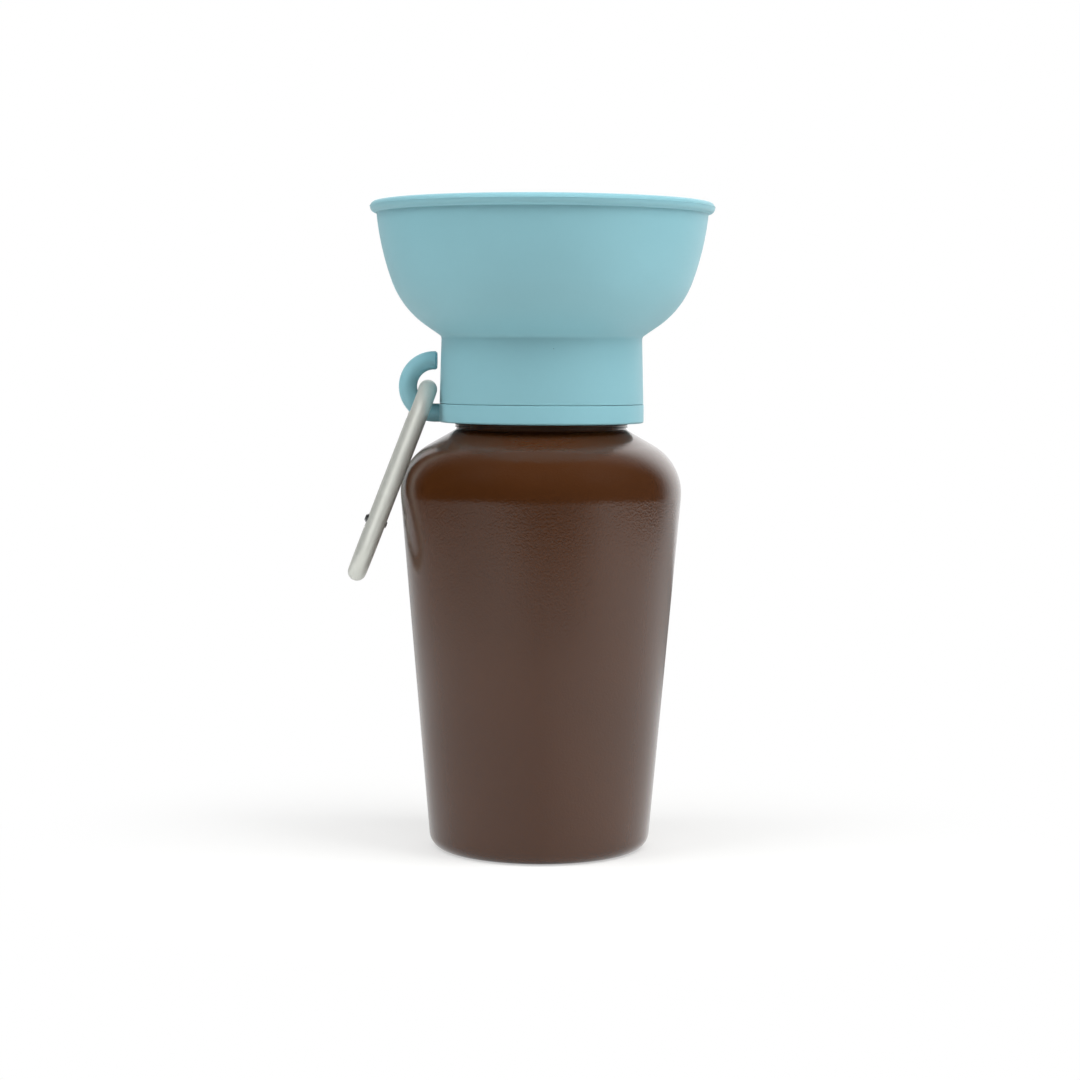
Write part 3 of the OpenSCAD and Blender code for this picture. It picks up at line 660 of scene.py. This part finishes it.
def ridges(size, neck_z):
    """Outlines of the fine ridges round the neck's root."""
    root = size.neck_d / 2 - size.wall / 2
    out = size.neck_d / 2 + size.ridge_h
    edge = size.ridge_w / 3
    outlines = []
    for i in range(size.ridge_count):
        low = neck_z + size.neck_fillet + i * size.ridge_pitch
        high = low + size.ridge_w
        corners = [(root, low, 0), (out, low, edge), (out, high, edge), (root, high, 0)]
        outlines.append(rounded(corners, FINE_CHORD))
    return outlines


# ---------------------------------------------------------------- operators

class BottleOperator(bpy.types.Operator):
    """Turn the blown bottle with its push-up, shoulder and neck"""
    bl_idname = "water_bottle.bottle"
    bl_label = "Bottle"
    bl_options = {"REGISTER", "UNDO"}

    def execute(self, context):
        size = context.scene.water_bottle_body
        brown = shared(blown_polyethylene, size.colour)
        neck_z, corners = bottle_corners(size)
        shell = lathe("bottle_shell", rounded(corners))
        shell.data.materials.append(brown)
        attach(shell, "bottle")
        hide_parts("bottle")
        for number, outline in enumerate(ridges(size, neck_z), 1):
            ridge = lathe(f"neck_ridge_{number}", outline)
            ridge.data.materials.append(brown)
            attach(ridge, "bottle")
        return {"FINISHED"}


class ThreadOperator(bpy.types.Operator):
    """Grow the neck's thread and the one inside the collar that runs on it"""
    bl_idname = "water_bottle.threads"
    bl_label = "Threads"
    bl_options = {"REGISTER", "UNDO"}

    def execute(self, context):
        size = context.scene.water_bottle_thread
        brown = shared(blown_polyethylene, context.scene.water_bottle_body.colour)
        teal = shared(moulded_polypropylene, context.scene.water_bottle_bowl.colour)
        tree = thread_tree(size)
        neck_r = context.scene.water_bottle_body.neck_d / 2
        start = COLLAR_Z + size.start_z
        reach = size.depth + size.sunk
        common = dict(Pitch=size.pitch, Turns=size.turns, Width=size.width)
        neck = grown("neck_thread", tree, brown, Radius=neck_r - size.sunk, Start=start,
                     Reach=reach, **common)
        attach(neck, "bottle")
        collar = grown("collar_thread", tree, teal, Radius=neck_r + size.room + size.sunk,
                       Start=start + size.pitch / 2, Reach=-reach, **common)
        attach(collar, "closure")
        return {"FINISHED"}


class CollarOperator(bpy.types.Operator):
    """Finish the collar, which carries the hook and the tracks for the bowl's lugs"""
    bl_idname = "water_bottle.collar"
    bl_label = "Collar"
    bl_options = {"REGISTER", "UNDO"}

    def execute(self, context):
        finish_node("collar", shared(moulded_polypropylene, context.scene.water_bottle_bowl.colour))
        return {"FINISHED"}


class BowlOperator(bpy.types.Operator):
    """Turn the drinking bowl, with its rim bead, its lugs and the bead's parting line"""
    bl_idname = "water_bottle.bowl"
    bl_label = "Bowl"
    bl_options = {"REGISTER", "UNDO"}

    def execute(self, context):
        size = context.scene.water_bottle_bowl
        teal = shared(moulded_polypropylene, size.colour)
        shell = lathe("bowl_shell", rounded(bowl_corners(size)))
        shell.data.materials.append(teal)
        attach(shell, "bowl")
        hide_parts("bowl")
        skirt_in = size.foot_d / 2 - size.skirt_wall
        lug = size.lug_reach + size.skirt_wall / 2
        lugs = grown("bowl_lugs", lug_tree(size.lug_count), teal, Length=lug,
                     Radius=size.lug_d / 2, Distance=skirt_in - size.lug_reach + lug / 2,
                     Height=SKIRT_Z + size.lug_z)
        line = grown("rim_parting_line", ring_tree(), teal, Radius=RIM_R - size.parting_r / 3,
                     Height=RIM_Z - size.parting_drop, Thickness=size.parting_r)
        for piece in (lugs, line):
            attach(piece, "bowl")
        return {"FINISHED"}


class InnerOperator(bpy.types.Operator):
    """Finish the valve stem, the dip tube, the sealing washer and both seals"""
    bl_idname = "water_bottle.inner_parts"
    bl_label = "Inner parts"
    bl_options = {"REGISTER", "UNDO"}

    def execute(self, context):
        inner = context.scene.water_bottle_inner
        rubber = shared(silicone_rubber, inner.silicone)
        milky = shared(natural_polypropylene, inner.natural)
        for node in ("neck_gasket", "plug_seal", "ring_seal"):
            finish_node(node, rubber)
        for node in ("valve_stem", "dip_tube"):
            finish_node(node, milky)
        return {"FINISHED"}


class CarabinerOperator(bpy.types.Operator):
    """Finish the carabiner, its gate and the steel pieces in it"""
    bl_idname = "water_bottle.carabiner"
    bl_label = "Carabiner"
    bl_options = {"REGISTER", "UNDO"}

    def execute(self, context):
        metals = context.scene.water_bottle_carabiner
        for node in ("carabiner_body", "carabiner_gate"):
            finish_node(node, shared(anodised_aluminium, metals.body))
        for node in ("gate_rivet", "latch_pin", "gate_pusher", "gate_spring"):
            finish_node(node, shared(drawn_steel, metals.steel))
        return {"FINISHED"}


def studio_paper(size):
    """Matte white paper. The camera sees it melt into the white surround, but for the shadow round the
    bottle. In reflections it glows with painted light, darker before the set than beside it, with two
    patches of painted shade."""
    made = patterned("white studio paper", size.floor_colour, noises={"fibre": (8 * MM, 2.0)},
                     tone=("fibre", 0.004), gloss=("fibre", 0.9, 0.9), relief={},
                     Specular_IOR_Level=0.0)
    tree = made.node_tree
    place = add(tree, "ShaderNodeTexCoord")["Object"]
    rays = add(tree, "ShaderNodeLightPath")
    away = add(tree, "ShaderNodeVectorMath", (place,), operation="LENGTH")["Value"]
    axes = add(tree, "ShaderNodeSeparateXYZ", (place,))
    # side runs from -1 at the left to 1 at the right, seen from the bottle.
    distance = add(tree, "ShaderNodeMath", (away, MM), operation="MAXIMUM")[0]
    side = add(tree, "ShaderNodeMath", (axes["X"], distance), operation="DIVIDE")[0]
    level = add(tree, "ShaderNodeMath", (side, size.table_lean, size.table_light),
                operation="MULTIPLY_ADD")[0]
    beside = add(tree, "ShaderNodeMath", (side,), operation="ABSOLUTE")[0]
    lit = add(tree, "ShaderNodeMath", (beside, size.table_sides, level),
              operation="MULTIPLY_ADD")[0]
    # Two soft patches of painted shade in the painted glow: one before the set, right of its middle,
    # and one at the far left.
    # A row says where across the table a place is full and where it ends, at which distances
    # from the bottle it starts and is full, in millimetres, and how dark it is.
    middle = 0.2
    past_middle = add(tree, "ShaderNodeMath", (side, middle), operation="SUBTRACT")[0]
    off_middle = add(tree, "ShaderNodeMath", (past_middle,), operation="ABSOLUTE")[0]
    for across, full, end, near, far, depth in ((off_middle, 0.1, 0.75, 200, 400, 1.0),
                                                (side, -1.0, -0.3, 220, 400, 0.5)):
        width = add(tree, "ShaderNodeMapRange", (across, full, end, 1.0, 0.0),
                    interpolation_type="SMOOTHSTEP")[0]
        onset = add(tree, "ShaderNodeMapRange", (away, near * MM, far * MM, 0.0, depth),
                    interpolation_type="SMOOTHSTEP")[0]
        painted_shade = add(tree, "ShaderNodeMath", (width, onset), operation="MULTIPLY")[0]
        left_over = add(tree, "ShaderNodeMath", (1.0, painted_shade), operation="SUBTRACT")[0]
        lit = add(tree, "ShaderNodeMath", (lit, left_over), operation="MULTIPLY")[0]
    # Painted light: the paper glows plain white for the camera, and with the painted brightness and
    # shade above for glossy rays.
    strength = add(tree, "ShaderNodeMix", {0: rays["Is Glossy Ray"], 2: 1.0, 3: lit})[0]
    white = add(tree, "ShaderNodeEmission", {"Color": (1, 1, 1, 1), "Strength": strength})[0]
    # Half of the paper shows near the bottle's axis, and none of it further out.
    inner, outer = 35 * MM, 160 * MM
    melted = add(tree, "ShaderNodeMapRange", (away, inner, outer, 0.5, 1.0),
                 interpolation_type="SMOOTHSTEP")[0]
    seen = add(tree, "ShaderNodeMath", (rays["Is Camera Ray"], melted), operation="MULTIPLY")[0]
    mirrored = add(tree, "ShaderNodeMath", (rays["Is Glossy Ray"], size.table_mirror),
                   operation="MULTIPLY")[0]
    seen = add(tree, "ShaderNodeMath", (seen, rays["Is Transmission Ray"]), operation="MAXIMUM")[0]
    seen = add(tree, "ShaderNodeMath", (seen, mirrored), operation="MAXIMUM")[0]
    paper = tree.nodes["Principled BSDF"].outputs[0]
    mixed = add(tree, "ShaderNodeMixShader", (seen, paper, white))[0]
    tree.links.new(mixed, tree.nodes["Material Output"].inputs["Surface"])
    return made


def studio_world(size):
    """Surround of a studio with a bright back wall and a dark room over and before the set.
    It is paper white where the camera sees it, and a soft fill where it only lights."""
    world = bpy.data.worlds.new("studio surround")
    world.use_nodes = True
    tree = world.node_tree
    tree.nodes.clear()
    rays = add(tree, "ShaderNodeLightPath")
    way = add(tree, "ShaderNodeTexCoord")["Generated"]
    axes = add(tree, "ShaderNodeSeparateXYZ", (way,))
    # The cap is the part of the ceiling that lies up behind the set. The cap, the wall and
    # the fill each rise between two cosines: of the angle to the cap's middle, of the angle
    # to straight back and of the angle to straight up.
    to_cap = (0, 0.7, 0.714)
    near_cap = add(tree, "ShaderNodeVectorMath", (way, to_cap), operation="DOT_PRODUCT")["Value"]
    cap = add(tree, "ShaderNodeMapRange", (near_cap, 0.5, 0.95, size.room_light, size.cap_light),
              interpolation_type="SMOOTHSTEP")[0]
    wall = add(tree, "ShaderNodeMapRange", (axes["Y"], 0.4, 0.8, 0.0, size.wall_light),
               interpolation_type="SMOOTHSTEP")[0]
    room = add(tree, "ShaderNodeMath", (cap, wall), operation="ADD")[0]
    lean = add(tree, "ShaderNodeMath", (axes["X"], size.room_lean, 1.0),
               operation="MULTIPLY_ADD")[0]
    room = add(tree, "ShaderNodeMath", (room, lean), operation="MULTIPLY")[0]
    low_fill, high_fill = 0.3 * size.fill_light, 1.2 * size.fill_light
    fill = add(tree, "ShaderNodeMapRange", (axes["Z"], 0.0, 0.45, low_fill, high_fill),
               interpolation_type="SMOOTHSTEP")[0]
    shown = add(tree, "ShaderNodeMath", (rays["Is Camera Ray"], rays["Is Transmission Ray"]),
                operation="MAXIMUM")[0]
    unseen = add(tree, "ShaderNodeMix", {0: rays["Is Glossy Ray"], 2: fill, 3: room})[0]
    strength = add(tree, "ShaderNodeMix", {0: shown, 2: unseen, 3: 1.0})[0]
    light = add(tree, "ShaderNodeBackground", {"Color": (1, 1, 1, 1), "Strength": strength})[0]
    add(tree, "ShaderNodeOutputWorld", {"Surface": light})
    bpy.context.scene.world = world


def softbox(name, place, watts, aim, side):
    """A square lamp at a place, turned to face the point that it is aimed at."""
    lamp = bpy.data.lights.new(name, "AREA")
    lamp.shape = "SQUARE"
    lamp.size = side
    lamp.energy = watts
    made = bpy.data.objects.new(name, lamp)
    made.location = place
    made.rotation_euler = (Vector(aim) - Vector(place)).to_track_quat("-Z", "Y").to_euler()
    bpy.context.scene.collection.objects.link(made)
    return made


def studio_lamps():
    """The high softboxes, and the one that only the carabiner's metal sees."""
    for row in SOFTBOXES:
        softbox(*row, MIDDLE, SOFTBOX_SIDE).visible_glossy = False
    lit = bpy.data.collections.new("rod_receivers")
    for node in ROD_NODES:
        lit.objects.link(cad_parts[node])
    softbox(*ROD_BOX, ROD, ROD_BOX_SIDE).light_linking.receiver_collection = lit


class StageOperator(bpy.types.Operator):
    """Set the table, the soft studio light and the camera"""
    bl_idname = "water_bottle.stage"
    bl_label = "Stage"
    bl_options = {"REGISTER", "UNDO"}

    def execute(self, context):
        size = context.scene.water_bottle_stage
        side, front, back = size.floor_width / 2, -size.floor_front, size.floor_back
        shape = bmesh.new()
        shape.faces.new([shape.verts.new(corner + (0,)) for corner in
                         ((-side, front), (side, front), (side, back), (-side, back))])
        floor = mesh_object("studio_floor", shape)
        floor.data.materials.append(studio_paper(size))
        studio_world(size)
        studio_lamps()
        set_camera(size)
        context.scene.view_settings.view_transform = "Standard"
        return {"FINISHED"}


def set_camera(size):
    """The photographer's camera: a little above the collar, looking slightly down."""
    data = bpy.data.cameras.new("camera")
    data.sensor_width = 36
    data.sensor_fit = "AUTO"
    data.lens = size.lens
    data.clip_start, data.clip_end = 0.01, 20
    camera = bpy.data.objects.new("camera", data)
    back = Vector((0, -math.cos(size.pitch), math.sin(size.pitch)))
    aim = Vector((size.target_x, 0, size.target_z))
    camera.location = aim + size.distance * back
    turned = (-back).to_track_quat("-Z", "Y")
    turned.rotate(Quaternion(back, size.roll))
    camera.rotation_euler = turned.to_euler()
    bpy.context.scene.collection.objects.link(camera)
    bpy.context.scene.camera = camera


class WaterBottlePanel(bpy.types.Panel):
    """Buttons that make each piece, with the sizes and colours that they use"""
    bl_idname = "VIEW3D_PT_water_bottle"
    bl_label = "Water Bottle"
    bl_space_type = "VIEW_3D"
    bl_region_type = "UI"
    bl_category = "Water Bottle"

    def draw(self, context):
        for operator in OPERATORS:
            self.layout.operator(operator.bl_idname)
        for name, group in SETTINGS.items():
            box = self.layout.box()
            box.label(text=group.__doc__)
            for key in group.__annotations__:
                box.prop(getattr(context.scene, name), key)


OPERATORS = (BottleOperator, ThreadOperator, CollarOperator, BowlOperator, InnerOperator,
             CarabinerOperator, StageOperator)


def register():
    for group in SETTINGS.values():
        bpy.utils.register_class(group)
    for name, group in SETTINGS.items():
        setattr(bpy.types.Scene, name, PointerProperty(type=group))
    for made in (*OPERATORS, WaterBottlePanel):
        bpy.utils.register_class(made)


def unregister():
    for made in reversed((*OPERATORS, WaterBottlePanel)):
        bpy.utils.unregister_class(made)
    for name, group in reversed(SETTINGS.items()):
        delattr(bpy.types.Scene, name)
        bpy.utils.unregister_class(group)


def main():
    register()
    bpy.ops.water_bottle.bottle()
    bpy.ops.water_bottle.threads()
    bpy.ops.water_bottle.collar()
    bpy.ops.water_bottle.bowl()
    bpy.ops.water_bottle.inner_parts()
    bpy.ops.water_bottle.carabiner()
    bpy.ops.water_bottle.stage()


if __name__ == "__main__":
    main()
